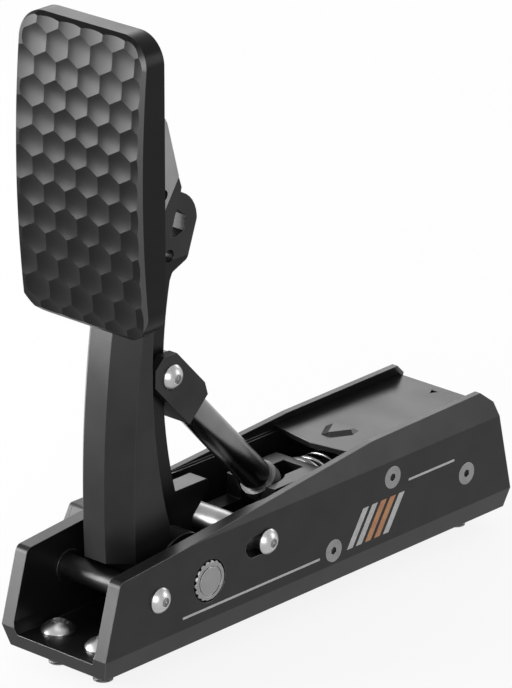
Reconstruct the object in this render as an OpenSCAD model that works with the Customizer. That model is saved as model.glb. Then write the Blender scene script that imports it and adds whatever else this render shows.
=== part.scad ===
// Sim racing pedal module.
// A pressed arm drives a pushrod, the pushrod drives a sliding fork, and the fork squeezes a return spring.
// X points to the driver's right, Y points away from the driver and Z points up.
// Stations along Y are measured from the front tip of the base, and placed() moves them to the origin,
// which lies on the underside of the base, at the middle of the four rig bolts.

/* [Base channel] */
// Outer width of the base
base_w = 56; // [52:0.5:66]
// Length of the base from front tip to rear tip
base_len = 238.6; // [234:0.1:260]
// Thickness of the side walls
wall_t = 6; // [5:0.25:7]
// Thickness of the floor
floor_t = 6; // [4:0.25:7]
// Height of the walls at the front corner
front_h = 39.2; // [37:0.1:42]
// Height of the walls at the end of the ramp
ramp_h = 52.4; // [51:0.1:53]
// Station where the ramp ends
ramp_end = 157; // [150:0.5:165]
// Height of the walls at the rear
rear_h = 53.5; // [53:0.1:58]
// Height where the walls start to lean in
lean_z = 42.5; // [42:0.1:44]
// How far the walls lean in at the rear height
lean_in = 4.24; // [3:0.02:5]
// Thickness of the leaning top of the walls
upper_t = 2.8; // [2:0.1:3.5]
// Height of the ledges that carry the cover
ledge_z = 46; // [45.5:0.1:47]
// Thickness of the cover plate
cover_t = 2.2; // [1.5:0.1:3]

/* [Pedal arm] */
// Station of the pivot axle
pivot_y = 58.2; // [56:0.1:62]
// Height of the pivot axle
pivot_z = 24.8; // [23.5:0.1:27]
// Diameter of the pivot axle
axle_d = 10; // [8:0.5:12]
// Width of the arm
arm_w = 27.8; // [26:0.2:32]
// Width of the flat front of the arm
arm_flat_w = 11.2; // [9:0.2:14]
// Depth of the arm's front chamfers
arm_chamfer = 8.3; // [6:0.1:9]
// Thickness of the arm's walls
arm_wall = 3.5; // [2.5:0.1:5]
// Thickness of the spine in the middle of the arm
spine_t = 8.8; // [7:0.2:10]
// Radius of the arm's hub
hub_r = 15.5; // [13:0.25:16]
// How far the pedal goes down, in degrees
press_deg = 12; // [6:0.5:12]

/* [Pedal plate] */
// Width of the pedal plate
plate_w = 66.4; // [60:0.2:90]
// Height of the pedal plate
plate_h = 120.6; // [110:0.2:130]
// Height of the lower edge of the pedal plate
plate_z = 134.1; // [131:0.1:137]
// Thickness of the plate at its middle
plate_t = 14; // [13:0.1:16]
// Radius of the plate's crowned front
crown_r = 480; // [400:5:900]
// Radius of the plate's corners
plate_corner = 12; // [8:0.1:16]
// Spacing of the hexagonal dimples
dimple_pitch = 11.4; // [10:0.1:14]
// Depth of a dimple at its middle
dimple_depth = 0.7; // [0.5:0.1:1.8]
// Width of the bevel round the plate's front
bevel_w = 1.9; // [1.9:0.1:3]

/* [Linkage] */
// Height of the clevis bolt above the pivot
crank_h = 79.5; // [76:0.1:83]
// Length of the pushrod from bolt to pin
rod_len = 103.9; // [102:0.1:106]
// Diameter of the pushrod tube
rod_d = 13; // [11:0.5:14]
// Width of the clevis
clevis_w = 17.6; // [17:0.2:22]
// Height of the fork pin and of the spring's axis
spring_z = 28.6; // [28:0.1:29.2]
// Width of the fork block
fork_w = 26; // [24:0.5:30]
// Width of the fork's slot
fork_slot = 10.8; // [9:0.1:12]
// Diameter of the fork pin
pin_d = 6; // [5:0.25:7]
// Play of the rod end on the fork pin
pin_play = 0.75; // [0.6:0.05:1]

/* [Return spring] */
// Outer diameter of the spring
spring_d = 27.2; // [26:0.1:28]
// Diameter of the spring wire
wire_d = 2.4; // [1.8:0.1:2.8]
// Turns between the two closed ends
live_turns = 8.5; // [5:0.5:9]

/* [Stop rod] */
// Station of the stop rod
stop_y = 91.4; // [90:0.1:92]
// Height of the stop rod
stop_z = 31; // [30:0.1:32]
// Diameter of the stop rod
stop_d = 8; // [7:0.25:8]
// How far the stop rod can be moved forward
stop_travel = 8; // [4:0.5:8]

/* [Fasteners] */
// Half the distance between the rig bolts across the base
rig_x = 12; // [9:0.5:13]
// Station of the front rig bolts
rig_front = 15; // [12:0.5:18]
// Distance of the rear rig bolts from the rear tip
rig_rear_in = 15.6; // [11.6:0.1:16]
// Diameter of the rig bolts
rig_d = 8; // [6:0.5:8]
// How far the rig bolts stand out below the base
rig_out = 7.3; // [4:0.1:20]
// Diameter of the machine bolts
bolt_d = 6; // [5:0.25:6]
// Diameter of the countersunk side screws
side_d = 5; // [4:0.25:5]

/* [Sensor box] */
// Depth of the sensor box, out from the wall
box_t = 10.5; // [9.5:0.25:14]
// Height of the top of the sensor box
box_top = 41.5; // [40:0.1:42]
// Wall of the sensor box
box_wall = 2; // [1.5:0.1:2.2]

/* [Hidden] */

$fn = 64;

// Fits
shaft_fit = 0.05;
slide_fit = 0.05;
gap = 0.3;
far = 400;

// Base sections
half_w = base_w / 2;
inner_x = half_w - wall_t;
foot_in = 2.55;
foot_h = 8.72;
corner_in = 1.5;
corner_h = 5;
cover_top = ledge_z + cover_t;
front_rake = 8.7;
front_round = 3;
foot_rake = 2.15;
rear_foot_rake = 1.4;
rear_rake = 8.9;
rear_drop = 5;
rear_cut = 6.1;
rig_rear = base_len - rig_rear_in;
mid_y = (rig_front + rig_rear) / 2;

// Hardware
nut_w = bolt_d * 1.67;
nut_h = bolt_d * 0.8;
bolt_r = bolt_d / 2;
side_head_d = side_d * 1.86;
side_depth = 14;
bolt_bite = 12;
head_ratio = 1.75;
neck_play = 0.1;

// Front tie bar
bar_y = 30.5;
bar_z = 25.4;
bar_r = 5;
bar_washer_r = 7;
bar_washer_t = 1.2;

// Pivot group
axle_r = axle_d / 2;
bush_r = axle_r + 2;
bush_flange_r = bush_r + 2;
bush_flange_t = 1.5;
spacer_r = axle_r + 3;
cap_r = 8.3;
cap_t = 2.2;
cap_proud = 0.5;
cap_room = 0.6;
cap_lobes = 18;
cap_pin_r = 3;
cap_pin_len = 8;
axle_left = half_w + 2.2;
cap_seat = half_w + cap_proud - cap_t;
axle_right = cap_seat - gap;
magnet_r = 4;
magnet_t = 1.5;
grub_r = 2.5;

// Arm form
arm_x = arm_w / 2;
hub_x = arm_x + 0.4;
spine_x = spine_t / 2;
belly_y = 23;
belly_z = 58;
belly_r = 462;
side_waist_y = 41.8;
side_waist_z = 110;
side_waist_r = 232;
spine_waist_y = 57.5;
spine_waist_z = 103;
spine_waist_r = 189;
shell_top = 150;
pocket_floor = hub_r + pivot_z + 4;
notch_r = 13.5;
notch_back = 6.5;
notch_up = 10.8;
lug_r = 9;
tail_top = 53.8;
tail_back = 82.8;
tail_low = pivot_z + hub_r - 0.3;
tail_t = 4.5;
head_points = [
    [40, 136, 0], [60.6, 140, 3], [63, 145, 2], [71.5, 148.5, 3], [76.9, 163.7, 4], [76.3, 172.8, 13],
    [68, 176.4, 0.5], [68.5, 178.2, 0.6], [67.1, 182.4, 0.8], [61.5, 187, 2], [60, 196, 4],
    [34.6, 196, 3], [34.6, 160, 0]
];
window_points = [[65.7, 170.4], [70.7, 166.3], [69.6, 160.4], [64.9, 158.9], [62.1, 159.75]];
sight_r = 2.6;
sight_y = 61.4;
sight_z = 152;

// Linkage points
clevis_y = pivot_y;
clevis_z = pivot_z + crank_h;
rod_drop = clevis_z - spring_z;
pin_y = clevis_y + sqrt(rod_len * rod_len - rod_drop * rod_drop);
rod_pitch = atan2(-rod_drop, pin_y - clevis_y);
clevis_x = clevis_w / 2;
clevis_front = -10;
clevis_back = 22.8;
clevis_half = 8.3;
clevis_cut = 5;
rod_r = rod_d / 2;
rod_socket = 6;
eye_room = 19.5;
tube_end = rod_len - eye_room;
collar_r = rod_r + 1.3;
collar_t = 5;
ring_r = rod_r + 0.6;
ring_t = 1.4;
shank_r = 4.5;
shank_in = 14;
eye_r = 7;
eye_x = fork_slot / 2 - 0.4;
pin_r = pin_d / 2;

// Travel of the fork over the full press, from the linkage's geometry
pressed_y = clevis_y + crank_h * sin(press_deg);
pressed_z = pivot_z + crank_h * cos(press_deg);
pressed_drop = pressed_z - spring_z;
fork_travel = pressed_y + sqrt(rod_len * rod_len - pressed_drop * pressed_drop) - pin_y;

// Fork block and spring group
fork_x = fork_w / 2;
fork_top = 42.3;
fork_back = pin_y + eye_r + 4.8;
fork_slot_back = pin_y + eye_r + 0.8;
fork_lead = 17.4;
fork_front = pin_y - fork_lead;
prong_top = 33;
prong_bottom = 25;
rail_top = 18.5;
rail_lead = 24;
rail_front = pin_y - rail_lead;
rail_back = fork_back + fork_travel;
rod_clear_r = collar_r + 1;
seat_t = 2;
seat_r = spring_d / 2 + 0.4;
sleeve_r = 9;
spigot_r = 5;
spigot_len = 3.6;
clip_r = pin_r + 2;
clip_t = 1;
pin_x = fork_x + clip_t + 0.6;
guide_r = 5;
housing_lead = 0.7;
housing_rear_in = 24.1;
housing_front = fork_back + fork_travel + housing_lead;
housing_back = base_len - housing_rear_in;
housing_end = 8.5;
sleeve_rest = 12.5;
sleeve_len = housing_back - housing_end - fork_back - fork_travel - sleeve_rest;
guide_lap = sleeve_len * 0.32;
housing_bore_r = seat_r + 0.6;
guide_seat = 6;

// Spring
coil_r = (spring_d - wire_d) / 2;
spring_front = fork_back + seat_t + gap;
spring_back = housing_back - housing_end - gap;
closed_pitch = wire_d + 0.55;
live_pitch = (spring_back - spring_front - wire_d - 2 * closed_pitch) / live_turns;
spring_turns = live_turns + 2;
rings_per_turn = 8;
ring_sides = 6;
spring_rings = round(spring_turns * rings_per_turn);

// Stop rod
stop_r = stop_d / 2;
stop_body_r = stop_r + 2;
slot_r = stop_r + 0.4;
slot_over = 1;

// Sensor box
box_lead = 18.2;
box_clear = 1.6;
box_front = pivot_y - box_lead;
box_back = stop_y - stop_travel - bolt_d * head_ratio / 2 - box_clear;
box_bottom = 9;
box_screw_in = 4.8;
box_screw_lead = 3.2;
box_rake_z = 26;
box_rake = 9;
box_round = 2;
lid_t = 2;
post_r = 3;
box_screw_r = 1.5;
box_screw_bite = 4;
board_t = 1.6;
board_x = half_w + 5.2;
chip_w = 5;
chip_t = 0.8;
socket_h = 8;
socket_rim = 1.2;
socket_z = box_bottom + box_screw_in + post_r + socket_h / 2 + gap + slide_fit;
socket_w = 5;
socket_len = 8;

// Plate and bracket
plate_back = 29.2;
plate_mid_z = plate_z + plate_h / 2;
flange_x = 20;
flange_t = 5;
flange_bottom = 160;
flange_top = 228;
cheek_in = spine_x + 0.2;
cheek_t = 5;
cheek_top = flange_top - 2;
cheek_points = [[53.7, 173.8, 1.5], [61.6, 185.6, 1], [55.4, 208.5, 4], [45, 226, 6]];
cheek_hole_at = [53, 180];
cheek_hole_r = 2.4;
bracket_bolt_at = [[42, 178], [42, 191]];
plate_screw_x = 15;
plate_screw_z = [169, 219];
plate_screw_d = 5;
plate_screw_bite = 6.5;

// A corner of an outline, replaced by an arc of radius r
function unit(v) = v / norm(v);
function arc_corner(a, p, b, r, n) =
    let (u = unit(a - p), w = unit(b - p), half = acos(u * w) / 2)
    let (c = p + unit(u + w) * r / sin(half), s = p + u * r / tan(half), e = p + w * r / tan(half))
    let (s_deg = atan2(s[1] - c[1], s[0] - c[0]), e_deg = atan2(e[1] - c[1], e[0] - c[0]))
    let (turn = (e_deg - s_deg + 540) % 360 - 180)
    [for (i = [0:n]) c + r * [cos(s_deg + turn * i / n), sin(s_deg + turn * i / n)]];

// An outline of [x, y, radius] points, with its corners rounded
function flat(p) = [p[0], p[1]];
function rounded(p, n = 6) = [
    for (i = [0:len(p) - 1])
        let (a = flat(p[(i + len(p) - 1) % len(p)]), b = flat(p[(i + 1) % len(p)]))
        each p[i][2] == 0 ? [flat(p[i])] : arc_corner(a, flat(p[i]), b, p[i][2], n)
];

// The outline mirrored to both sides of X = 0
function both_sides(p) = concat(p, [for (i = [len(p) - 1:-1:0]) [-p[i][0], p[i][1]]]);

// Half width of the base's outside at a height above the foot chamfer
function lean_x(z) = half_w - max(0, z - lean_z) * lean_in / (rear_h - lean_z);

// Half width of the space over the ledges
function upper_x(z) = lean_x(z) - upper_t;

// Section of the space inside the base below the ledges, drawn in by a fit
function bay_section(fit, top) = both_sides([
    [inner_x - corner_in - fit, floor_t],
    [inner_x - fit, floor_t + corner_h],
    [inner_x - fit, top]
]);

// Outline of the sensor box with its leaning front, drawn in by a wall
function box_outline(wall) = rounded([
    [box_front + box_rake + wall * 0.6, box_top - wall, box_round],
    [box_front + wall, box_rake_z - wall * 0.3, box_round],
    [box_front + wall, box_bottom + wall, box_round],
    [box_back - wall, box_bottom + wall, box_round],
    [box_back - wall, box_top - wall, box_round]
]);

// The module's stations, moved to the origin
module placed() {
    translate([0, -mid_y, 0]) children();
}

// An outline in Y and Z, extruded along X
module along_x(x0, x1, outline) {
    translate([x0, 0, 0]) rotate([90, 0, 90]) linear_extrude(x1 - x0) polygon(outline);
}

// An outline in X and Z, extruded along Y
module along_y(y0, y1, outline) {
    translate([0, y1, 0]) rotate([90, 0, 0]) linear_extrude(y1 - y0) polygon(outline);
}

// A round bar along X, and one along Y
module bar_along_x(r, x0, x1, y, z) {
    translate([x0, y, z]) rotate([0, 90, 0]) cylinder(r = r, h = x1 - x0);
}

module bar_along_y(r, y0, y1, x, z) {
    translate([x, y0, z]) rotate([-90, 0, 0]) cylinder(r = r, h = y1 - y0);
}

// Children on the right side and, mirrored, on the left side
module each_side() {
    children();
    mirror([1, 0, 0]) children();
}

// Children in the pushrod's own frame: Y runs down the rod from the clevis bolt
module on_rod() {
    translate([0, clevis_y, clevis_z]) rotate([rod_pitch, 0, 0]) children();
}

// Button head screw along Z, with its seat at Z = 0 and its shank below, which a neck can make thinner
module button_screw(d, length, neck_d = 0) {
    socket = d * 0.69;
    head_h = d * 0.55;
    dome_r = d * 1.05;
    shank_d = neck_d == 0 ? d : neck_d;
    difference() {
        union() {
            translate([0, 0, -length]) cylinder(d = shank_d, h = length);
            intersection() {
                cylinder(d = d * head_ratio, h = head_h);
                translate([0, 0, head_h - dome_r]) sphere(r = dome_r);
            }
        }
        translate([0, 0, d * 0.22]) cylinder(d = socket, h = d, $fn = 6);
    }
}

// Countersunk screw along Z, with its flat head flush at Z = 0
module flat_screw(d, length) {
    head = d * 1.86;
    head_drop = (head - d) / 2;
    difference() {
        union() {
            translate([0, 0, -head_drop]) cylinder(d1 = d, d2 = head, h = head_drop);
            translate([0, 0, -length]) cylinder(d = d, h = length);
        }
        translate([0, 0, -d * 0.45]) cylinder(d = d * 0.69, h = d, $fn = 6);
    }
}

// Places children with their Z axis pointing out of the right wall
module out_right(x, y, z) {
    translate([x, y, z]) rotate([0, 90, 0]) children();
}

// Stations and heights of the countersunk screws on each wall: one into the rail, two into the housing
rail_screw_lead = 0.93;
rail_screw_z = 14.6;
housing_screw_lead = 5.2;
housing_screw_z = 35.4;
end_screw_in = 3.7;
end_screw_z = 23.3;
side_spots = [
    [pin_y + rail_screw_lead, rail_screw_z], [housing_front + housing_screw_lead, housing_screw_z],
    [housing_back - end_screw_in, end_screw_z]
];

// Base
module base_channel() {
    outside = both_sides([
        [half_w - foot_in, 0], [half_w, foot_h], [half_w, lean_z], [lean_x(rear_h), rear_h]
    ]);
    bay = both_sides([
        [inner_x - corner_in, floor_t], [inner_x, floor_t + corner_h], [inner_x, ledge_z],
        [upper_x(ledge_z), ledge_z], [upper_x(rear_h + 1), rear_h + 1]
    ]);
    side = rounded([
        [foot_rake, 0, 0], [0, foot_h, 0], [front_rake, front_h, front_round], [ramp_end, ramp_h, 0],
        [base_len - rear_rake - rear_cut, rear_h, 0], [base_len - rear_rake, rear_h - rear_drop, 0],
        [base_len, foot_h, 0], [base_len - rear_foot_rake, 0, 0]
    ]);
    color("#2b2b2d") placed() difference() {
        intersection() {
            along_y(0, base_len, outside);
            along_x(-half_w, half_w, side);
        }
        along_y(-1, base_len + 1, bay);
        bar_along_x(bolt_r + gap, -far, far, bar_y, bar_z);
        bar_along_x(bush_r, -far, far, pivot_y, pivot_z);
        bar_along_x(cap_r + cap_room, axle_right, far, pivot_y, pivot_z);
        each_side() wall_slot();
        each_side() for (p = side_spots) out_right(half_w, p[0], p[1]) side_hole();
        for (p = rig_spots())
            translate([p[0], p[1], -1]) cylinder(d = rig_d + 2 * shaft_fit, h = floor_t + 2);
        for (p = box_screw_spots)
            bar_along_x(box_screw_r + shaft_fit, -half_w - 1, -half_w + box_screw_bite, p[0], p[1]);
    }
}

// Slot that the stop rod slides in
module wall_slot() {
    slot_front = stop_y - stop_travel;
    slot_back = stop_y + slot_over;
    for (y = [slot_front, slot_back]) bar_along_x(slot_r, inner_x - 1, half_w + 1, y, stop_z);
    translate([inner_x - 1, slot_front, stop_z - slot_r])
        cube([wall_t + 2, slot_back - slot_front, 2 * slot_r]);
}

// Countersunk hole for a side screw
module side_hole() {
    head_drop = (side_head_d - side_d) / 2;
    translate([0, 0, -head_drop]) cylinder(d1 = side_d, d2 = side_head_d, h = head_drop);
    translate([0, 0, -wall_t - 1]) cylinder(d = side_d + 2 * shaft_fit, h = wall_t + 1);
    cylinder(d = side_head_d, h = 1);
}

function rig_spots() = [for (y = [rig_front, rig_rear], s = [-1, 1]) [s * rig_x, y]];

module tie_bar() {
    bar_x = inner_x - bar_washer_t;
    color("#1d1d1f") placed() difference() {
        bar_along_x(bar_r, -bar_x, bar_x, bar_y, bar_z);
        each_side() bar_along_x(bolt_r + shaft_fit, bar_x - bolt_bite - 1, bar_x + 1, bar_y, bar_z);
    }
}

module tie_bar_washers() {
    color("#8d8d90") placed() each_side() difference() {
        bar_along_x(bar_washer_r, inner_x - bar_washer_t, inner_x, bar_y, bar_z);
        bar_along_x(bolt_r + gap, 0, half_w, bar_y, bar_z);
    }
}

module tie_bar_bolts() {
    color("#b9babd") placed() each_side()
        out_right(half_w, bar_y, bar_z) button_screw(bolt_d, wall_t + bar_washer_t + bolt_bite);
}

module wall_bushes() {
    color("#a07a45") placed() each_side() difference() {
        union() {
            bar_along_x(bush_r - shaft_fit, inner_x - bush_flange_t, axle_right, pivot_y, pivot_z);
            bar_along_x(bush_flange_r, inner_x - bush_flange_t, inner_x, pivot_y, pivot_z);
        }
        bar_along_x(axle_r + shaft_fit, 0, half_w + 1, pivot_y, pivot_z);
    }
}

module slide_rail() {
    color("#3a3a3c") placed() difference() {
        along_y(rail_front, rail_back, bay_section(slide_fit, rail_top));
        bar_along_y(housing_bore_r, rail_front - 1, rail_back + 1, 0, spring_z);
        side_screw_bores();
    }
}

// Bores that the side screws go into
module side_screw_bores() {
    each_side() for (p = side_spots)
        bar_along_x(side_d / 2 + shaft_fit, half_w - side_depth - 1, half_w, p[0], p[1]);
}

module spring_housing() {
    housing_in = housing_back - housing_end;
    color("#262628") placed() difference() {
        along_y(housing_front, housing_back, bay_section(slide_fit, ledge_z));
        bar_along_y(housing_bore_r, housing_front - 1, housing_in, 0, spring_z);
        bar_along_y(guide_r + shaft_fit, housing_in - 1, housing_in + guide_seat, 0, spring_z);
        bar_along_y(bolt_r + shaft_fit, housing_in, housing_back + 1, 0, spring_z);
        side_screw_bores();
    }
}

module guide_rod() {
    rod_front = fork_back + sleeve_len - guide_lap;
    rod_back = housing_back - housing_end + guide_seat;
    color("#c4c5c8") placed() difference() {
        bar_along_y(guide_r, rod_front, rod_back, 0, spring_z);
        bar_along_y(bolt_r + shaft_fit, rod_back - bolt_bite - 1, rod_back + 1, 0, spring_z);
    }
}

module guide_rod_screw() {
    color("#b9babd") placed() translate([0, housing_back, spring_z]) rotate([-90, 0, 0])
        button_screw(bolt_d, housing_end - guide_seat + bolt_bite);
}

module cover_plate() {
    cover_lead = 5.93;
    cover_apex = fork_back + cover_lead;
    cover_shoulder = cover_apex + 4.8;
    cover_rear_in = 11.1;
    cover_back = base_len - cover_rear_in;
    light_half = 2;
    light_reach = 1.8;
    light_in = 6;
    light_y = cover_back - light_in;
    section = both_sides([
        [upper_x(ledge_z) - slide_fit, ledge_z], [upper_x(cover_top) - slide_fit, cover_top]
    ]);
    outline = [
        [0, cover_apex], [half_w, cover_shoulder], [half_w, cover_back],
        [-half_w, cover_back], [-half_w, cover_shoulder]
    ];
    light = [
        [0, light_y - light_reach], [light_half, light_y + light_reach], [-light_half, light_y + light_reach]
    ];
    color("#3b3b3e") placed() difference() {
        union() {
            intersection() {
                along_y(cover_apex, cover_back, section);
                translate([0, 0, ledge_z]) linear_extrude(cover_t) polygon(outline);
            }
            cover_grip();
        }
        translate([0, 0, ledge_z - 1]) linear_extrude(cover_t + 2) polygon(light);
    }
}

// Raised grip on the cover: a ring of six edges, each with the angle of the face that rises from it
module cover_grip() {
    grip_h = 1.3;
    sunk = 0.9;
    spread = 1;
    front_x = 2.6;
    waist_x = 7.4;
    back_x = 6.2;
    grip_lead = 4;
    waist_in = 8.4;
    grip_len = 13.4;
    front = housing_front - grip_lead;
    waist = front + waist_in;
    back = front + grip_len;
    rise = [40, 23, 30, 35, 30, 23];
    ring = [
        [-front_x, front], [front_x, front], [waist_x, waist],
        [back_x, back], [-back_x, back], [-waist_x, waist]
    ];
    difference() {
        translate([-waist_x - spread, front - spread, cover_top - sunk])
            cube([2 * (waist_x + spread), grip_len + 2 * spread, sunk + grip_h]);
        for (i = [0:5]) let (a = ring[i], run = ring[(i + 1) % 6] - a)
            translate([a[0], a[1], cover_top]) rotate([0, 0, atan2(run[1], run[0])])
                rotate([rise[i], 0, 0]) translate([-far / 2, -far / 2, 0]) cube(far);
    }
}

module side_screws() {
    color("#9a9b9e") placed() each_side() for (p = side_spots)
        out_right(half_w, p[0], p[1]) flat_screw(side_d, side_depth);
}

// Rig bolts: thinner in the floor, full size where they stand out below it
module rig_bolts() {
    color("#c4c5c8") placed() for (p = rig_spots()) translate([p[0], p[1], 0]) {
        translate([0, 0, floor_t]) button_screw(rig_d, floor_t + rig_out / 4, rig_d - 2 * neck_play);
        translate([0, 0, -rig_out]) cylinder(d = rig_d, h = rig_out);
    }
}

// Sensor box on the outside of the left wall
box_screw_spots = [
    [box_front + box_rake + box_screw_lead, box_top - box_screw_in],
    [box_back - box_screw_in, box_top - box_screw_in],
    [box_back - box_screw_in, box_bottom + box_screw_in],
    [box_front + box_screw_in, box_bottom + box_screw_in]
];
board_half = 8;
board_below = 9;
board_above = 7;
board_posts = [[pivot_y - board_half, pivot_z - board_below], [pivot_y + board_half, pivot_z + board_above]];

module sensor_housing() {
    tray = box_t - lid_t;
    color("#1c1c1e") placed() difference() {
        union() {
            difference() {
                along_x(-half_w - tray, -half_w, box_outline(0));
                along_x(-half_w - tray - 1, -half_w - box_wall, box_outline(box_wall));
            }
            for (p = box_screw_spots) bar_along_x(post_r, -half_w - tray, -half_w, p[0], p[1]);
            for (p = board_posts) bar_along_x(post_r, -board_x, -half_w, p[0], p[1]);
        }
        bar_along_x(bush_r + gap, -half_w - box_wall - 1, -half_w + 1, pivot_y, pivot_z);
        for (p = box_screw_spots) bar_along_x(box_screw_r + shaft_fit, -half_w - tray - 1, 0, p[0], p[1]);
        socket_block(slide_fit);
    }
}

// Outer block of the signal socket, grown by a fit
module socket_block(fit) {
    x0 = -half_w - box_wall - socket_w - 0.2;
    translate([x0 - fit, box_back - socket_len + 1 - fit, socket_z - socket_h / 2 - fit])
        cube([socket_w + 2 * fit, socket_len + fit, socket_h + 2 * fit]);
}

module sensor_lid() {
    color("#242426") placed() difference() {
        along_x(-half_w - box_t, -half_w - box_t + lid_t, box_outline(0));
        for (p = box_screw_spots)
            bar_along_x(box_screw_r + shaft_fit, -half_w - box_t - 1, -half_w, p[0], p[1]);
    }
}

module sensor_board() {
    margin = 1.8;
    low = board_posts[0];
    high = board_posts[1];
    color("#1f5a34") placed() {
        translate([-board_x - board_t, low[0] - margin, low[1] - margin])
            cube([board_t, high[0] - low[0] + 2 * margin, high[1] - low[1] + 2 * margin]);
        translate([-board_x, pivot_y - chip_w / 2, pivot_z - chip_w / 2]) cube([chip_t, chip_w, chip_w]);
    }
}

module sensor_screws() {
    color("#77787b") placed() for (p = box_screw_spots)
        translate([-half_w - box_t, p[0], p[1]]) rotate([0, -90, 0])
            button_screw(2 * box_screw_r, box_t + box_screw_bite - 0.2);
}

module signal_socket() {
    mouth_h = socket_h - 2 * socket_rim;
    mouth_w = 3;
    mouth_deep = 6;
    x_mid = -half_w - box_wall - 0.2 - socket_w / 2;
    color("#0d0d0e") placed() difference() {
        socket_block(0);
        translate([x_mid - mouth_w / 2, box_back + 1 - mouth_deep, socket_z - mouth_h / 2])
            cube([mouth_w, mouth_deep + 1, mouth_h]);
    }
}

// Spring: one wire, closed at both ends, as rings along a helix
function spring_y(turn) = spring_front + wire_d / 2
    + closed_pitch * (min(turn, 1) + max(0, turn - live_turns - 1))
    + live_pitch * min(max(turn - 1, 0), live_turns);
function spring_point(turn) = [coil_r * sin(turn * 360), spring_y(turn), spring_z + coil_r * cos(turn * 360)];
function wire_ring(turn) =
    let (c = spring_point(turn), step = 0.01)
    let (along = unit(spring_point(turn + step) - spring_point(turn - step)))
    let (out = [sin(turn * 360), 0, cos(turn * 360)], side = cross(along, out))
    [for (k = [0:ring_sides - 1]) let (a = k * 360 / ring_sides)
        c + wire_d / 2 * (out * cos(a) + side * sin(a))];

module return_spring() {
    turns = [for (i = [0:spring_rings]) spring_turns * i / spring_rings];
    points = [for (t = turns) each wire_ring(t)];
    n = ring_sides;
    skin = [for (i = [0:spring_rings - 1], k = [0:n - 1]) each [
        [i * n + k, (i + 1) * n + k, i * n + (k + 1) % n],
        [(i + 1) * n + k, (i + 1) * n + (k + 1) % n, i * n + (k + 1) % n]
    ]];
    cap_0 = [for (k = [1:n - 2]) [0, k, k + 1]];
    cap_1 = [for (k = [1:n - 2]) [spring_rings * n, spring_rings * n + k + 1, spring_rings * n + k]];
    least = min([for (i = [0:spring_rings - rings_per_turn]) norm(spring_point(turns[i])
        - spring_point(turns[i + rings_per_turn]))]) - wire_d;
    echo(least_gap_between_turns = least);
    color("#d0d1d4") placed() polyhedron(points, concat(skin, cap_0, cap_1));
}

// Arm
module pedal_arm() {
    color("#232325") placed() difference() {
        union() {
            arm_shell();
            bar_along_x(hub_r, -hub_x, hub_x, pivot_y, pivot_z);
            translate([-spine_x, 0, 0]) rotate([90, 0, 90]) linear_extrude(spine_t) spine_outline();
        }
        intersection() {
            bar_along_x(notch_r, -far, far, bar_y - notch_back, bar_z);
            translate([-far, 0, 0]) cube([2 * far, pivot_y, bar_z + notch_up]);
        }
        bar_along_x(axle_r + shaft_fit, -far, far, pivot_y, pivot_z);
        bar_along_x(bolt_r + shaft_fit, -far, far, clevis_y, clevis_z);
        for (p = bracket_bolt_at) bar_along_x(bolt_r + shaft_fit, -far, far, p[0], p[1]);
        along_x(-far, far, window_points);
        bar_along_x(sight_r, -far, far, sight_y, sight_z);
        bar_along_y(grub_r + shaft_fit, pivot_y, pivot_y + far, 0, pivot_z);
    }
}

// Front of the arm: a chamfered section turned about a far centre, so that it bows forward
module arm_shell() {
    deep = 45;
    sweep_low = -6;
    sweep_high = 16;
    section = [
        [belly_r, -arm_flat_w / 2], [belly_r, arm_flat_w / 2], [belly_r - arm_chamfer, arm_x],
        [belly_r - deep, arm_x], [belly_r - deep, -arm_x], [belly_r - arm_chamfer, -arm_x]
    ];
    difference() {
        intersection() {
            translate([0, belly_y + belly_r, belly_z]) rotate([0, 90, 0]) rotate([0, 0, 270 - sweep_high])
                rotate_extrude(angle = sweep_high - sweep_low, $fn = 720) polygon(section);
            translate([-far, 0, pivot_z]) cube([2 * far, far, shell_top - pivot_z]);
        }
        translate([-far, side_waist_y + side_waist_r, side_waist_z]) rotate([0, 90, 0])
            cylinder(r = side_waist_r, h = 2 * far, $fn = 360);
        arm_hollow();
    }
}

// Hollow behind the arm's front wall, open at the back
module arm_hollow() {
    front_wall = arm_chamfer + 1.5;
    hollow_x = arm_x - arm_wall;
    intersection() {
        translate([-hollow_x, belly_y + belly_r, belly_z]) rotate([0, 90, 0])
            cylinder(r = belly_r - front_wall, h = 2 * hollow_x, $fn = 720);
        translate([-far, 0, pocket_floor]) cube([2 * far, far, far]);
    }
}

// Side outline of the spine: a blade with a hollow rear edge, a tail, a head and the clevis lug
module spine_outline() {
    blade_front = belly_y + arm_chamfer;
    difference() {
        translate([blade_front + 1, pivot_z + 3])
            square([pivot_y + hub_r - blade_front - 1, shell_top - pivot_z - 11]);
        translate([spine_waist_y + spine_waist_r, spine_waist_z]) circle(r = spine_waist_r, $fn = 360);
    }
    polygon(rounded([
        [pivot_y, pivot_z + 3, 0], [pivot_y + hub_r - 1.5, pivot_z + 3, 0], [pivot_y + hub_r, tail_low, 3],
        [tail_back, tail_top - tail_t, 1.5], [tail_back, tail_top, 1.5], [pivot_y, tail_top, 0]
    ]));
    polygon(rounded(head_points));
    translate([clevis_y, clevis_z]) circle(r = lug_r);
}

module pivot_axle() {
    color("#c4c5c8") placed() difference() {
        bar_along_x(axle_r, -axle_left, axle_right, pivot_y, pivot_z);
        bar_along_x(cap_pin_r + shaft_fit, axle_right - cap_pin_len - 1, axle_right + 1, pivot_y, pivot_z);
    }
}

module axle_spacers() {
    color("#6d6e71") placed() each_side() difference() {
        bar_along_x(spacer_r, hub_x, inner_x - bush_flange_t - gap, pivot_y, pivot_z);
        bar_along_x(axle_r + shaft_fit, 0, half_w, pivot_y, pivot_z);
    }
}

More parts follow.
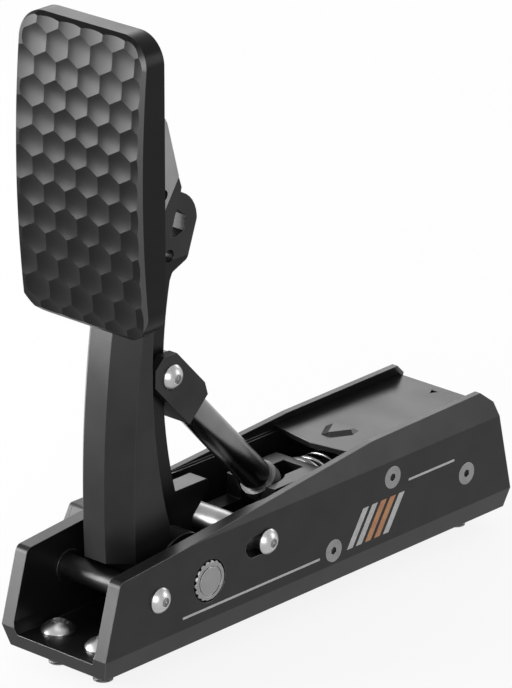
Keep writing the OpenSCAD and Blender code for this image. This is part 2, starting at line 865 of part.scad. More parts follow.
// Cap on the axle's right end, sunk in the wall, with a scalloped edge and a ring groove
module pivot_cap() {
    scallop_r = 1;
    groove_r = 5.7;
    groove_w = 0.7;
    groove_deep = 0.6;
    color("#8d8e91") placed() out_right(cap_seat, pivot_y, pivot_z) difference() {
        union() {
            cylinder(r = cap_r, h = cap_t - 0.5);
            translate([0, 0, cap_t - 0.5]) cylinder(r1 = cap_r, r2 = cap_r - 0.6, h = 0.5);
            translate([0, 0, -gap - cap_pin_len])
                cylinder(r = cap_pin_r, h = cap_pin_len + 1.5);
        }
        for (i = [0:cap_lobes - 1]) rotate([0, 0, i * 360 / cap_lobes])
            translate([cap_r + scallop_r * 0.45, 0, -0.1]) cylinder(r = scallop_r, h = cap_t + 1, $fn = 16);
        translate([0, 0, cap_t - groove_deep]) difference() {
            cylinder(r = groove_r + groove_w, h = 1);
            translate([0, 0, -0.5]) cylinder(r = groove_r, h = 2);
        }
    }
}

module arm_set_screw() {
    grub_len = 9;
    grub_deep = 2.5;
    color("#3a3a3c") placed() difference() {
        bar_along_y(grub_r, pivot_y + axle_r + gap, pivot_y + axle_r + gap + grub_len, 0, pivot_z);
        translate([0, pivot_y + axle_r + gap + grub_len - grub_deep, pivot_z]) rotate([-90, 0, 0])
            cylinder(r = grub_r * 0.55, h = grub_deep * 2, $fn = 6);
    }
}

module sensor_magnet() {
    color("#55565a") placed() bar_along_x(magnet_r, -axle_left - magnet_t, -axle_left, pivot_y, pivot_z);
}

// Bracket between the arm's head and the pedal plate
module plate_bracket() {
    cheek_front = plate_back + flange_t / 5;
    cheek = rounded(concat([[cheek_front, flange_bottom, 0]], cheek_points, [[cheek_front, cheek_top, 0]]));
    color("#77787b") placed() difference() {
        union() {
            each_side() along_x(cheek_in, cheek_in + cheek_t, cheek);
            bracket_flange();
        }
        bar_along_x(cheek_hole_r, -far, far, cheek_hole_at[0], cheek_hole_at[1]);
        for (p = bracket_bolt_at) bar_along_x(bolt_r + shaft_fit, -far, far, p[0], p[1]);
        for (s = [-1, 1], z = plate_screw_z)
            bar_along_y(plate_screw_d / 2 + shaft_fit, plate_back - 1, plate_back + 9, s * plate_screw_x, z);
    }
}

module bracket_flange() {
    outline = rounded([
        [-flange_x, flange_bottom, 5], [flange_x, flange_bottom, 5],
        [flange_x, flange_top, 5], [-flange_x, flange_top, 5]
    ]);
    along_y(plate_back, plate_back + flange_t, outline);
}

module bracket_bolts() {
    color("#b9babd") placed() for (p = bracket_bolt_at)
        out_right(cheek_in + cheek_t, p[0], p[1]) button_screw(bolt_d, 2 * (cheek_in + cheek_t) + nut_h + 1);
}

// Hexagon nut along Z, from Z = 0 up
module hex_nut(width, height, bore_r) {
    difference() {
        cylinder(d = width / cos(30), h = height, $fn = 6);
        translate([0, 0, -1]) cylinder(r = bore_r + shaft_fit, h = height + 2);
    }
}

module bracket_nuts() {
    color("#8d8e91") placed() for (p = bracket_bolt_at)
        out_right(-cheek_in - cheek_t - nut_h, p[0], p[1]) hex_nut(nut_w, nut_h, bolt_r);
}

// Pedal plate with a crowned, bevelled front and a field of hexagonal dimples
row_step = dimple_pitch * sqrt(3) / 2;
dimple_edge = dimple_pitch * 0.615;
dimple_r = (dimple_edge * dimple_edge + dimple_depth * dimple_depth) / (2 * dimple_depth);
plate_half = plate_w / 2;
plate_low = plate_z;
plate_high = plate_z + plate_h;
function crown_y(z) = let (up = z - plate_mid_z)
    plate_back - plate_t + crown_r - sqrt(crown_r * crown_r - up * up);
function crown_lean(z) = asin((z - plate_mid_z) / crown_r);

// Plate blank: a rounded outline, a crown turned about a far centre, and bevels all round its front
module plate_blank() {
    deep = plate_t + 15;
    sweep = 10;
    cut = 12;
    section = [
        [crown_r, bevel_w - plate_half], [crown_r, plate_half - bevel_w], [crown_r - bevel_w, plate_half],
        [crown_r - deep, plate_half], [crown_r - deep, -plate_half], [crown_r - bevel_w, -plate_half]
    ];
    edge_y = crown_y(plate_high) + bevel_w;
    side = [
        [plate_back, plate_low], [plate_back, plate_high], [edge_y, plate_high],
        [edge_y - cut, plate_high - cut], [edge_y - cut, plate_low + cut], [edge_y, plate_low]
    ];
    difference() {
        intersection() {
            translate([0, plate_back - plate_t + crown_r, plate_mid_z]) rotate([0, 90, 0])
                rotate([0, 0, 270 - sweep]) rotate_extrude(angle = 2 * sweep, $fn = 720) polygon(section);
            along_x(-plate_half - 1, plate_half + 1, side);
            rounded_block(plate_w + 0.02, plate_h, plate_corner,
                plate_back - plate_t - 1, plate_back, plate_mid_z);
        }
        for (s = [-1, 1], t = [-1, 1]) corner_bevel(s, t);
    }
}

// What the bevel takes off a round corner: the space outside a cone that leans with the crown
module corner_bevel(s, t) {
    x = s * (plate_half - plate_corner);
    z = plate_mid_z + t * (plate_h / 2 - plate_corner);
    reach = 6;
    base_y = crown_y(z) + bevel_w;
    translate([x, base_y, z]) rotate([-crown_lean(z), 0, 0]) difference() {
        translate([s > 0 ? 0.1 : -far - 0.1, -reach, t > 0 ? 0.1 : -far - 0.1]) cube([far, reach, far]);
        translate([0, -reach - 1, 0]) rotate([-90, 0, 0])
            cylinder(r1 = plate_corner - reach - 1, r2 = plate_corner + 1, h = reach + 2);
    }
}

module rounded_block(w, h, r, y0, y1, z_mid) {
    translate([-w / 2, y0, z_mid - h / 2 + r]) cube([w, y1 - y0, h - 2 * r]);
    translate([-w / 2 + r, y0, z_mid - h / 2]) cube([w - 2 * r, y1 - y0, h]);
    for (s = [-1, 1], t = [-1, 1]) bar_along_y(r, y0, y1, s * (w / 2 - r), z_mid + t * (h / 2 - r));
}

// One dimple: a shallow cap of a sphere, wide enough to meet its six neighbours in sharp ridges
module dimple(x, z) {
    cap_over = 0.3;
    cap_out = 0.6;
    translate([x, crown_y(z), z]) rotate([-crown_lean(z), 0, 0]) intersection() {
        translate([0, dimple_depth - dimple_r, 0]) sphere(r = dimple_r);
        bar_along_y(dimple_edge + cap_over, -cap_out, dimple_depth + 1, 0, 0);
    }
}

module dimple_field() {
    rows = floor(plate_h / 2 / row_step);
    columns = ceil(plate_half / dimple_pitch);
    for (j = [-rows:rows], i = [-columns:columns]) {
        x = dimple_pitch * (i + ((abs(j) + 1) % 2) / 2);
        if (abs(x) < plate_half + 1.5) dimple(x, plate_mid_z + j * row_step);
    }
}

module pedal_plate() {
    color("#1f1f21") placed() difference() {
        plate_blank();
        dimple_field();
        for (s = [-1, 1], z = plate_screw_z) bar_along_y(plate_screw_d / 2 + shaft_fit,
            plate_back - plate_screw_bite - 0.5, plate_back + 1, s * plate_screw_x, z);
    }
}

module plate_screws() {
    color("#b9babd") placed() for (s = [-1, 1], z = plate_screw_z)
        translate([s * plate_screw_x, plate_back + flange_t, z]) rotate([-90, 0, 0])
            button_screw(plate_screw_d, flange_t + plate_screw_bite);
}

// Pushrod
module clevis() {
    outline = [
        [clevis_front, -clevis_half + clevis_cut], [clevis_front + clevis_cut, -clevis_half],
        [clevis_back, -clevis_half], [clevis_back, clevis_half - clevis_cut / 2],
        [clevis_back - clevis_cut, clevis_half], [clevis_front + clevis_cut, clevis_half],
        [clevis_front, clevis_half - clevis_cut]
    ];
    slot_back = lug_r + 1.5;
    color("#39393b") placed() on_rod() difference() {
        along_x(-clevis_x, clevis_x, outline);
        translate([-spine_x - 0.2, clevis_front - 1, -far])
            cube([spine_t + 0.4, slot_back - clevis_front + 1, 2 * far]);
        bar_along_x(bolt_r + shaft_fit, -far, far, 0, 0);
        bar_along_y(rod_r + shaft_fit, clevis_back - rod_socket, clevis_back + 1, 0, 0);
    }
}

module clevis_bolt() {
    color("#b9babd") placed() out_right(clevis_x, clevis_y, clevis_z)
        button_screw(bolt_d, clevis_w + nut_h + 1);
}

module clevis_nut() {
    color("#8d8e91") placed() out_right(-clevis_x - nut_h, clevis_y, clevis_z) hex_nut(nut_w, nut_h, bolt_r);
}

module pushrod_tube() {
    color("#2a2a2c") placed() on_rod() difference() {
        bar_along_y(rod_r, clevis_back - rod_socket, tube_end, 0, 0);
        bar_along_y(shank_r + shaft_fit, tube_end - shank_in - 1, tube_end + 1, 0, 0);
    }
}

module jam_nut() {
    color("#6d6e71") placed() on_rod() difference() {
        bar_along_y(collar_r, tube_end, tube_end + collar_t, 0, 0);
        bar_along_y(shank_r + shaft_fit, 0, rod_len, 0, 0);
    }
}

module rod_end() {
    color("#a9aaad") placed() on_rod() difference() {
        union() {
            bar_along_y(shank_r, tube_end - shank_in, rod_len - 2, 0, 0);
            bar_along_y(ring_r, tube_end + collar_t, tube_end + collar_t + ring_t, 0, 0);
            bar_along_x(eye_r, -eye_x, eye_x, rod_len, 0);
        }
        bar_along_x(pin_r + pin_play, -far, far, rod_len, 0);
    }
}

// Plunger
module fork_block() {
    color("#4a4a4d") placed() difference() {
        union() {
            translate([-fork_x, fork_front, rail_top + gap])
                cube([fork_w, fork_back - fork_front, fork_top - rail_top - gap]);
            prong_front = stop_y + stop_body_r + gap;
            translate([-fork_x, prong_front, prong_bottom])
                cube([fork_w, fork_front - prong_front + 1, prong_top - prong_bottom]);
        }
        translate([-fork_slot / 2, 0, 0]) cube([fork_slot, fork_slot_back, far]);
        bar_along_x(pin_r + shaft_fit, -far, far, pin_y, spring_z);
        bar_along_y(spigot_r + shaft_fit, fork_slot_back - 1, fork_back + 1, 0, spring_z);
        on_rod() bar_along_y(rod_clear_r, 0, tube_end + collar_t + ring_t + 1.5, 0, 0);
    }
}

module fork_pin() {
    color("#c4c5c8") placed() bar_along_x(pin_r, -pin_x, pin_x, pin_y, spring_z);
}

module pin_clips() {
    color("#55565a") placed() each_side() difference() {
        bar_along_x(clip_r, fork_x, fork_x + clip_t, pin_y, spring_z);
        bar_along_x(pin_r + shaft_fit, 0, far, pin_y, spring_z);
    }
}

module spring_seat() {
    color("#d0d1d4") placed() difference() {
        bar_along_y(seat_r, fork_back, fork_back + seat_t, 0, spring_z);
        bar_along_y(sleeve_r + shaft_fit, fork_back - 1, fork_back + seat_t + 1, 0, spring_z);
    }
}

module plunger_sleeve() {
    color("#161617") placed() difference() {
        union() {
            bar_along_y(sleeve_r, fork_back, fork_back + sleeve_len, 0, spring_z);
            bar_along_y(spigot_r, fork_back - spigot_len, fork_back + 1, 0, spring_z);
        }
        bar_along_y(guide_r + shaft_fit, fork_back + 2, fork_back + sleeve_len + 1, 0, spring_z);
    }
}

// Stop
module stop_rod() {
    rod_x = half_w - 0.4;
    color("#d0d1d4") placed() difference() {
        union() {
            bar_along_x(stop_r, -rod_x, rod_x, stop_y, stop_z);
            bar_along_x(stop_body_r, -inner_x + 2 * gap, inner_x - 2 * gap, stop_y, stop_z);
        }
        each_side() bar_along_x(bolt_r + shaft_fit, rod_x - bolt_bite - 1, rod_x + 1, stop_y, stop_z);
    }
}

module stop_bolts() {
    color("#b9babd") placed() each_side() out_right(half_w + gap, stop_y, stop_z)
        button_screw(bolt_d, bolt_bite);
}

base_channel();
tie_bar();
tie_bar_washers();
tie_bar_bolts();
wall_bushes();
slide_rail();
spring_housing();
guide_rod();
guide_rod_screw();
cover_plate();
side_screws();
rig_bolts();
sensor_housing();
sensor_lid();
sensor_board();
sensor_screws();
signal_socket();
return_spring();
pedal_arm();
pivot_axle();
axle_spacers();
pivot_cap();
arm_set_screw();
sensor_magnet();
plate_bracket();
bracket_bolts();
bracket_nuts();
pedal_plate();
plate_screws();
clevis();
clevis_bolt();
clevis_nut();
pushrod_tube();
jam_nut();
rod_end();
fork_block();
fork_pin();
pin_clips();
spring_seat();
plunger_sleeve();
stop_rod();
stop_bolts();
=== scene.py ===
"""Looks of one sim racing pedal, dressed on its packed construction model.

Lengths are in metres in the model's own frame, and in millimetres where a name ends in _mm.
"""

import logging
import math
from dataclasses import dataclass, field
from enum import Enum

import bpy
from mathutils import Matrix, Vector


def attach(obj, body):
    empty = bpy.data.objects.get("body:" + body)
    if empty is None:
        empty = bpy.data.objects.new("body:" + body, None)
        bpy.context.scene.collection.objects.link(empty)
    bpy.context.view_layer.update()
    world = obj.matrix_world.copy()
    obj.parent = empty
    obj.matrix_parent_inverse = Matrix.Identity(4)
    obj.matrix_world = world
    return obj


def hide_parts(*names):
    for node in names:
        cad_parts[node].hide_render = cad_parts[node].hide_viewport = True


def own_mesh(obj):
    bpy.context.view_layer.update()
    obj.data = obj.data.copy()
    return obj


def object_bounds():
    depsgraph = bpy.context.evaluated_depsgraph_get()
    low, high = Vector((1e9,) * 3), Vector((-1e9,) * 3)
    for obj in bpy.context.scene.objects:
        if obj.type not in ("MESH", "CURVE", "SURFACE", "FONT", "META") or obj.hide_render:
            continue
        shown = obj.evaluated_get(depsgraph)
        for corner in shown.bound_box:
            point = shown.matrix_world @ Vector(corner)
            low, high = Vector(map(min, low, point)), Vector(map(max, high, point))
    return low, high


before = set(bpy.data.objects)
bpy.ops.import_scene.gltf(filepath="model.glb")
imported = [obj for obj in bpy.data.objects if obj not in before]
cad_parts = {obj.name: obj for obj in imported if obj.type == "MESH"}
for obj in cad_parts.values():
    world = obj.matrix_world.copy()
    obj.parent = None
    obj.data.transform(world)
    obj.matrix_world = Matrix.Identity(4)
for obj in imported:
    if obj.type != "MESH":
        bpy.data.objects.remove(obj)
cad_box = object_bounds()

logging.basicConfig(level=logging.INFO, format="%(message)s")
log = logging.getLogger("pedal")
MM = 0.001
Tree = bpy.types.NodeTree
Socket = bpy.types.NodeSocket

# A share from none to all
UNIT = (0.0, 1.0)
# Noise values between which a patch goes from its first colour or roughness to its last
COLOUR_BAND = (0.35, 0.65)
GLOSS_BAND = (0.3, 0.7)
# Scale of the roughness patches against the colour patches
GLOSS_SCALE = 0.6
# Cosine between a face and its rounded normal where an edge starts to show and shows fully
EDGE_BAND = (0.99, 0.9)
# Radians that the wave texture goes through in one unit of length at a scale of 1
WAVE_RADIANS = 20
# Sockets of a Mix node that mixes colours
MIX_SHARE, MIX_A, MIX_B, MIX_COLOUR = 0, 6, 7, 2


def linear(colour: str) -> tuple[float, float, float, float]:
    """Turn an sRGB hex colour into linear RGBA.

    Args:
        colour: Hex colour with a leading hash sign.

    Returns:
        Linear red, green and blue, and an alpha of 1.
    """
    parts = [int(colour[i:i + 2], 16) / 255 for i in (1, 3, 5)]
    # Curve of the sRGB standard
    red, green, blue = (p / 12.92 if p <= 0.04045 else ((p + 0.055) / 1.055) ** 2.4 for p in parts)
    return red, green, blue, 1.0


def add_node(tree: Tree, kind: str, settings: dict | None = None,
             links: dict | None = None) -> bpy.types.Node:
    """Add one shader node with its settings and incoming links.

    Args:
        tree: Node tree that the node goes into.
        kind: Node type without its ShaderNode prefix.
        settings: Properties by name, and input values by input name or number.
        links: Sockets that feed the node, by input name or number.

    Returns:
        The new node.
    """
    node = tree.nodes.new("ShaderNode" + kind)
    for name, value in (settings or {}).items():
        if isinstance(name, str) and hasattr(node, name):
            setattr(node, name, value)
        else:
            node.inputs[name].default_value = value
    for name, socket in (links or {}).items():
        tree.links.new(socket, node.inputs[name])
    return node


def blank_tree(owner: bpy.types.Material | bpy.types.World) -> Tree:
    """Empty the node tree of a material or world.

    Args:
        owner: The material or world.

    Returns:
        Its tree, without nodes.
    """
    owner.use_nodes = True
    owner.node_tree.nodes.clear()
    return owner.node_tree


def ramp(tree: Tree, value: Socket, band: tuple[float, float],
         ends: tuple[float, float] = UNIT) -> Socket:
    """Map the values in a band to those between two ends, which hold beyond the band.

    Args:
        tree: Node tree that the node goes into.
        value: Socket of the value.
        band: Values where the band starts and stops.
        ends: Results where the band starts and stops.

    Returns:
        The result's socket.
    """
    (start, stop), (first, last) = band, ends
    node = add_node(tree, "MapRange", {
        "From Min": start, "From Max": stop, "To Min": first, "To Max": last}, {"Value": value})
    return node.outputs["Result"]


def mix_colours(tree: Tree, share: Socket, first: Socket | str, second: str) -> Socket:
    """Mix a second colour into a first one.

    Args:
        tree: Node tree that the node goes into.
        share: Socket of the second colour's share.
        first: Socket of the first colour, or its sRGB hex colour.
        second: sRGB hex colour of the second.

    Returns:
        The mixed colour's socket.
    """
    settings = {"data_type": "RGBA", MIX_B: linear(second)}
    links = {MIX_SHARE: share}
    if isinstance(first, str):
        settings[MIX_A] = linear(first)
    else:
        links[MIX_A] = first
    return add_node(tree, "Mix", settings, links).outputs[MIX_COLOUR]


class Marks(Enum):
    """Stretch of a surface's fine marks along X, Y and Z; a low number draws them out."""

    GRIT = (1.0, 1.0, 1.0)
    ALONG_X = (0.05, 1.0, 1.0)


@dataclass(frozen=True)
class Finish:
    """One real surface finish and the values that draw it.

    Attributes:
        name: Common name of the material and how its surface was made.
        colour: Main sRGB colour.
        drift: sRGB colour that patches drift to.
        edge: sRGB colour along edges, partly wear and partly a painted highlight where rolled edges
            catch the light.
        metallic: Share of metal in the surface.
        roughness: Middle of the roughness.
        roughness_drift: How far roughness goes either way.
        marks: How the fine marks are drawn out.
        mark_mm: Width of one mark or grain, drawn coarser than a real one too fine to show.
        mark_depth_mm: Height of a mark.
        patch_mm: Size of the colour and roughness patches.
        edge_mm: Radius that the edges look rounded to.
        graze: Share of the shine that is left where the surface is seen edge on.
    """

    name: str
    colour: str
    drift: str
    edge: str
    metallic: float
    roughness: float
    roughness_drift: float = 0.04
    marks: Marks = Marks.GRIT
    mark_mm: float = 0.35
    mark_depth_mm: float = 0.01
    patch_mm: float = 14.0
    edge_mm: float = 0.35
    graze: float = 1.0

    def material(self) -> bpy.types.Material:
        """Give this finish's material, made on the first call."""
        made = bpy.data.materials.get(self.name)
        return made if made else self.draw()

    def draw(self) -> bpy.types.Material:
        """Make the material's nodes.

        Returns:
            The new material.
        """
        material = bpy.data.materials.new(self.name)
        tree = blank_tree(material)
        place = add_node(tree, "TexCoord").outputs["Object"]
        bevel = add_node(tree, "Bevel", {"samples": 6, "Radius": self.edge_mm * MM})
        rounded = bevel.outputs["Normal"]
        colour = self.colour_nodes(tree, place, rounded)
        blotch = add_node(tree, "TexNoise", {
            "Scale": GLOSS_SCALE / (self.patch_mm * MM), "Detail": 4.0}, {"Vector": place})
        gloss = ramp(tree, blotch.outputs["Fac"], GLOSS_BAND, (
            self.roughness - self.roughness_drift, self.roughness + self.roughness_drift))
        tint = (self.graze, self.graze, self.graze, 1.0)
        shader = add_node(
            tree, "BsdfPrincipled", {"Metallic": self.metallic, "Specular Tint": tint},
            {"Base Color": colour, "Roughness": gloss,
             "Normal": self.relief_nodes(tree, place, rounded)})
        add_node(tree, "OutputMaterial", {}, {"Surface": shader.outputs["BSDF"]})
        return material

    def colour_nodes(self, tree: Tree, place: Socket, rounded: Socket) -> Socket:
        """Colour that drifts in patches and pales along edges, partly as wear and partly as a painted
        highlight.

        Args:
            tree: The material's tree.
            place: Object coordinates.
            rounded: Normal with rounded edges.

        Returns:
            The colour socket.
        """
        patch = add_node(tree, "TexNoise", {"Scale": 1 / (self.patch_mm * MM), "Detail": 3.0},
                         {"Vector": place})
        share = ramp(tree, patch.outputs["Fac"], COLOUR_BAND)
        body = mix_colours(tree, share, self.colour, self.drift)
        face = add_node(tree, "NewGeometry").outputs["Normal"]
        turn = add_node(tree, "VectorMath", {"operation": "DOT_PRODUCT"}, {0: rounded, 1: face})
        # Paler edges: partly wear, partly a painted highlight on the rounded edges
        edge_wear_and_highlight = ramp(tree, turn.outputs["Value"], EDGE_BAND)
        return mix_colours(tree, edge_wear_and_highlight, body, self.edge)

    def relief_nodes(self, tree: Tree, place: Socket, rounded: Socket) -> Socket:
        """Bump of the fine marks over the rounded edges.

        Args:
            tree: The material's tree.
            place: Object coordinates.
            rounded: Normal with rounded edges.

        Returns:
            The normal socket.
        """
        drawn = add_node(tree, "Mapping", {"Scale": self.marks.value}, {"Vector": place})
        grain = add_node(tree, "TexNoise", {"Scale": 1 / (self.mark_mm * MM), "Detail": 2.0},
                         {"Vector": drawn.outputs["Vector"]})
        bump = add_node(tree, "Bump", {"Strength": 1.0, "Distance": self.mark_depth_mm * MM},
                        {"Height": grain.outputs["Fac"], "Normal": rounded})
        return bump.outputs["Normal"]


@dataclass(frozen=True)
class ThreadedFinish(Finish):
    """A screw's finish that adds thread rings below the base's underside, with painted shade on the
    thread for its shadowed grooves.

    Attributes:
        pitch_mm: Distance from ring to ring.
        thread_mm: Depth of the thread.
        thread: sRGB colour painted on the thread as the shade of its grooves.
        below_mm: Heights where the thread starts to show and shows fully.
    """

    pitch_mm: float = 1.25
    thread_mm: float = 0.6
    thread: str = "#7c7c7c"
    below_mm: tuple[float, float] = (-0.2, -0.4)

    def colour_nodes(self, tree: Tree, place: Socket, rounded: Socket) -> Socket:
        """Colour of the head, and a darker one painted on the thread as shade.

        Args:
            tree: The material's tree.
            place: Object coordinates.
            rounded: Normal with rounded edges.

        Returns:
            The colour socket.
        """
        head = super().colour_nodes(tree, place, rounded)
        # Painted shade: the thread is darkened as if its grooves were shadowed
        return mix_colours(tree, self.below_nodes(tree, place), head, self.thread)

    def below_nodes(self, tree: Tree, place: Socket) -> Socket:
        """Share that is 1 below the base's underside, where the thread shows.

        Args:
            tree: The material's tree.
            place: Object coordinates.

        Returns:
            The share's socket.
        """
        height = add_node(tree, "SeparateXYZ", {}, {0: place})
        start, full = self.below_mm
        return ramp(tree, height.outputs["Z"], (start * MM, full * MM))

    def relief_nodes(self, tree: Tree, place: Socket, rounded: Socket) -> Socket:
        """Bump of the thread rings over the fine marks.

        Args:
            tree: The material's tree.
            place: Object coordinates.
            rounded: Normal with rounded edges.

        Returns:
            The normal socket.
        """
        fine = super().relief_nodes(tree, place, rounded)
        scale = 2 * math.pi / (WAVE_RADIANS * self.pitch_mm * MM)
        rings = add_node(tree, "TexWave", {"bands_direction": "Z", "Scale": scale}, {"Vector": place})
        bump = add_node(tree, "Bump", {"Distance": self.thread_mm * MM}, {
            "Strength": self.below_nodes(tree, place), "Height": rings.outputs["Fac"],
            "Normal": fine})
        return bump.outputs["Normal"]


@dataclass(frozen=True)
class PaintedFlankFinish(Finish):
    """A finish that paints another colour on faces that look sideways: painted shade where it is
    darker, a painted highlight where it is paler.

    Attributes:
        painted_flank: sRGB colour painted on the sideways faces, darker for painted shade and paler
            for a painted highlight.
        fade_x: Share of a face's normal along X, either way, where the colour starts and is full.
        most_x: Most share of a face's normal along X, either way.
        most_y: Most share of a face's normal along Y.
        half_mm: Distance from the middle that the faces lie within.
        top_mm: Height that the faces lie below.
    """

    # By default a painted shade, darker than the black anodise
    painted_flank: str = "#161616"
    fade_x: tuple[float, float] = (0.84, 0.86)
    most_x: float = 1.01
    most_y: float = 1.01
    half_mm: float = 100.0
    top_mm: float = 1000.0

    def colour_nodes(self, tree: Tree, place: Socket, rounded: Socket) -> Socket:
        """Colour of the body, and the painted flank colour on the sideways faces.

        Args:
            tree: The material's tree.
            place: Object coordinates.
            rounded: Normal with rounded edges.

        Returns:
            The colour socket.
        """
        colour = super().colour_nodes(tree, place, rounded)
        spot = add_node(tree, "SeparateXYZ", {}, {0: place})
        normal = add_node(tree, "NewGeometry").outputs["Normal"]
        face = add_node(tree, "SeparateXYZ", {}, {0: normal})
        off, lean = (
            add_node(tree, "Math", {"operation": "ABSOLUTE"}, {0: part.outputs["X"]}).outputs[0]
            for part in (spot, face))
        # Paint the flank colour, as shade or highlight, on faces that look sideways within the limits
        painted_flank_mask = ramp(tree, lean, self.fade_x)
        for value, limit in ((lean, self.most_x), (face.outputs["Y"], self.most_y),
                             (off, self.half_mm * MM), (spot.outputs["Z"], self.top_mm * MM)):
            below = add_node(tree, "Math", {"operation": "LESS_THAN", 1: limit}, {0: value})
            both = add_node(tree, "Math", {"operation": "MULTIPLY"}, {0: painted_flank_mask, 1: below.outputs[0]})
            painted_flank_mask = both.outputs[0]
        return mix_colours(tree, painted_flank_mask, colour, self.painted_flank)


# Bead blasted and dyed black: an even satin that goes pale grey where it faces a light
BLACK_ANODISE = Finish("black_anodised_aluminium", "#2d2d2d", "#292929", "#686868", 0.8, 0.32,
                       mark_mm=0.3, mark_depth_mm=0.006)
# The arm's dye: the same satin, with painted shade on the rib's flanks, which sit deep inside the
# arm's side walls
ARM_ANODISE = PaintedFlankFinish("black_anodised_arm_aluminium", "#2d2d2d", "#292929", "#4a4a4a",
                          0.8, 0.32, mark_mm=0.3, mark_depth_mm=0.006, half_mm=13.2, top_mm=150.0)
# The same dye on machined faces: smoother, with finer grit
BLACK_ANODISE_MACHINED = Finish("black_anodised_machined_aluminium", "#2c2c2c", "#272727",
                                "#484848", 0.8, 0.32, mark_mm=0.25, mark_depth_mm=0.004)
# Dyed after a coarser blast: a dull black that stays dark edge on
BLACK_ANODISE_DULL = Finish("black_anodised_dull_aluminium", "#3c3c3c", "#363636", "#525252",
                            0.8, 0.42, mark_mm=0.3, mark_depth_mm=0.008, graze=0.2)
# Dyed after the dimples were milled with a ball cutter: a clean satin that follows each hollow,
# with a painted highlight along the chamfers of its long sides, where they would catch the light
PLATE_ANODISE = PaintedFlankFinish("black_anodised_milled_aluminium", "#171717", "#141414", "#2a2a2a",
                            0.8, 0.31, mark_mm=0.25, mark_depth_mm=0.003, edge_mm=0.08, graze=0.8,
                            painted_flank="#4b4b4b", fade_x=(0.4, 0.7), most_x=0.88, most_y=-0.35)
# Undyed anodise over blasted aluminium: soft mid grey with pale edges
GREY_ANODISE = Finish("grey_anodised_aluminium", "#909090", "#878787", "#b6b6b6", 1.0, 0.38,
                      mark_mm=0.3, mark_depth_mm=0.006)
# Undyed anodise left as milled: as grey as the blasted cap, with a little more sheen
SILVER_ANODISE = Finish("silver_anodised_aluminium", "#8f8f8f", "#868686", "#b1b1b1", 1.0, 0.36,
                        mark_mm=0.3, mark_depth_mm=0.005)
# Black nickel plate over polished tube: a dark mirror that streaks where it sees the floor
BLACK_NICKEL = Finish("black_nickel_plated_steel", "#7d7c7d", "#727172", "#979698", 1.0, 0.22,
                      roughness_drift=0.03, mark_mm=0.2, mark_depth_mm=0.001, patch_mm=12.0,
                      edge_mm=0.2)
# Cold headed stainless screws: bright grey, faintly clouded by passivation
STAINLESS = ThreadedFinish("stainless_steel_screws", "#bababa", "#adadad", "#d0d0d0", 1.0, 0.31,
                           mark_mm=0.4, mark_depth_mm=0.004, patch_mm=5.0, edge_mm=0.25)
# Zinc flake coat on the sunk screws: flat mid grey that hides the steel's shine
ZINC_FLAKE = Finish("zinc_flake_coated_steel", "#8b8b8b", "#818181", "#a7a7a7", 1.0, 0.4,
                    mark_mm=0.25, mark_depth_mm=0.006, patch_mm=4.0, edge_mm=0.2)
# Ground round bar: a bright soft sheen, with hair lines that run across the base
BRIGHT_STEEL = Finish("ground_steel_bar", "#a5a5a5", "#9a9a9a", "#bfbfbf", 1.0, 0.37,
                      marks=Marks.ALONG_X, mark_mm=0.2, mark_depth_mm=0.002, patch_mm=8.0,
                      edge_mm=0.2)
# Drawn spring wire: bright, with a fine grain that softens its highlight
SPRING_WIRE = Finish("drawn_spring_wire", "#9b9b9b", "#8b8b8b", "#b1b1b1", 1.0, 0.24,
                     mark_mm=0.3, mark_depth_mm=0.004, patch_mm=6.0, edge_mm=0.1)
# Zinc plate: cool pale grey with a cloudy passivation
ZINC_STEEL = Finish("zinc_plated_steel", "#9ea2a6", "#8b9095", "#c3c6c9", 1.0, 0.32,
                    mark_mm=0.5, mark_depth_mm=0.006, patch_mm=4.0, edge_mm=0.2)
# Black oxide: thin dark skin that lets a little steel gleam through
BLACK_OXIDE = Finish("black_oxide_steel", "#414141", "#363636", "#6e6e6e", 0.9, 0.34,
                     mark_mm=0.4, mark_depth_mm=0.006, patch_mm=5.0, edge_mm=0.2)
# Oiled sintered bronze: warm brown with dark pores
BRONZE = Finish("sintered_bronze", "#8c6a3c", "#73552f", "#b08a55", 1.0, 0.38,
                mark_mm=0.3, mark_depth_mm=0.02, patch_mm=3.0, edge_mm=0.2)
# Machined black acetal: waxy, with tool lines
ACETAL = Finish("machined_black_acetal", "#1b1b1b", "#222222", "#3a3a3a", 0.0, 0.42,
                marks=Marks.ALONG_X, mark_mm=0.3, mark_depth_mm=0.01, patch_mm=10.0)
# Injection moulded ABS: fine spark texture from the mould
BLACK_ABS = Finish("moulded_black_abs", "#232323", "#1e1e1e", "#3d3d3d", 0.0, 0.5,
                   mark_mm=0.5, mark_depth_mm=0.025, patch_mm=18.0)
# Solder mask over copper and glass fibre: dark green gloss
SOLDER_MASK = Finish("green_solder_mask", "#1f5a34", "#184a2a", "#5f7a4a", 0.0, 0.3,
                     mark_mm=0.8, mark_depth_mm=0.01, patch_mm=2.5, edge_mm=0.1)
# Pad printed ink with metal flake: flat silver and flat copper
SILVER_INK = Finish("silver_printing_ink", "#a9a9a9", "#9d9d9d", "#b5b5b5", 0.3, 0.5,
                    mark_mm=0.25, mark_depth_mm=0.004, patch_mm=3.0, edge_mm=0.02)
COPPER_INK = Finish("copper_printing_ink", "#a87a55", "#98694a", "#b98a63", 0.3, 0.5,
                    mark_mm=0.25, mark_depth_mm=0.004, patch_mm=3.0, edge_mm=0.02)


def dress(finishes: dict[str, Finish]) -> None:
    """Give construction nodes their finishes.

    Args:
        finishes: Finish of each node, by node name.
    """
    for name, finish in finishes.items():
        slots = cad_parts[name].data.materials
        slots.clear()
        slots.append(finish.material())
        log.info("%s: %s", name, finish.name)


def deselect() -> None:
    """Clear the selection, so that an operator acts on the new piece alone."""
    bpy.ops.object.select_all(action="DESELECT")


